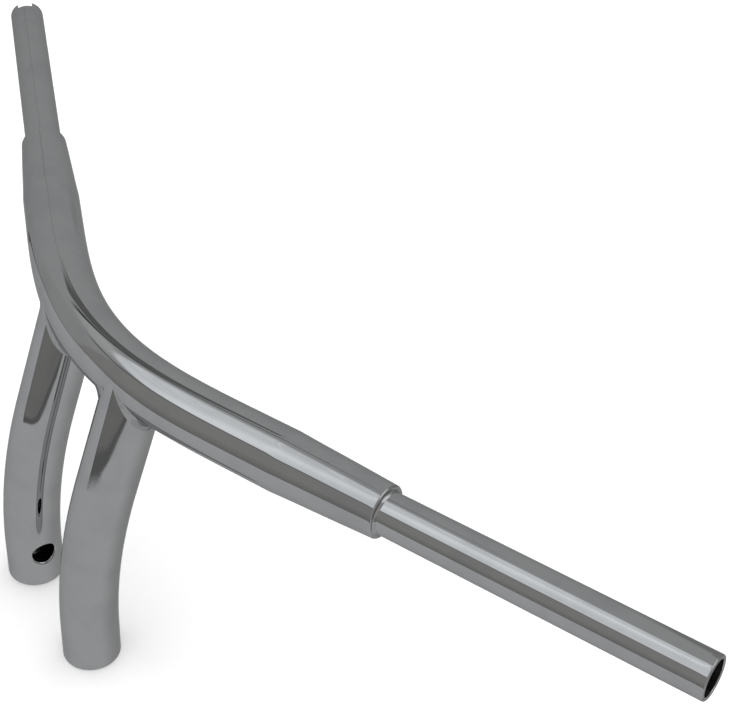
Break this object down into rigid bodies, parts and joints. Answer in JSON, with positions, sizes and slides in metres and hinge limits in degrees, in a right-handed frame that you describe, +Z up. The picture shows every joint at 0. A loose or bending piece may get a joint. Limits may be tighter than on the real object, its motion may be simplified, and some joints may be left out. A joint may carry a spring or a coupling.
{
  "type": "motorcycle handlebar",
  "caption": "Chrome pullback motorcycle handlebar: a fat bent centre tube swaged down to slim grip ends, welded onto curved risers that bolt to the fork clamp.",
  "frame": {"origin": "midway between the two riser feet, on the plane where they rest on the fork clamp", "axes": "+X to the rider's right along the bar's width, +Y forward away from the rider, +Z up out of the fork clamp"},
  "size_m": [0.813, 0.2016, 0.2394],
  "materials": {
    "tube_chrome": "polished chrome plate",
    "weld_chrome": "chrome plate over a dressed weld, slightly uneven",
    "bung_steel": "machined steel with a dull plated face"
  },
  "bodies": {
    "root": {"center_tube": "tube_chrome", "left_grip_tube": "tube_chrome", "left_step_weld": "weld_chrome", "left_riser_tube": "tube_chrome", "left_riser_bung": "bung_steel", "left_bung_weld": "weld_chrome", "left_riser_inner_weld": "weld_chrome", "left_riser_outer_weld": "weld_chrome", "right_grip_tube": "tube_chrome", "right_step_weld": "weld_chrome", "right_riser_tube": "tube_chrome", "right_riser_bung": "bung_steel", "right_bung_weld": "weld_chrome", "right_riser_inner_weld": "weld_chrome", "right_riser_outer_weld": "weld_chrome"}
  },
  "joints": []
}
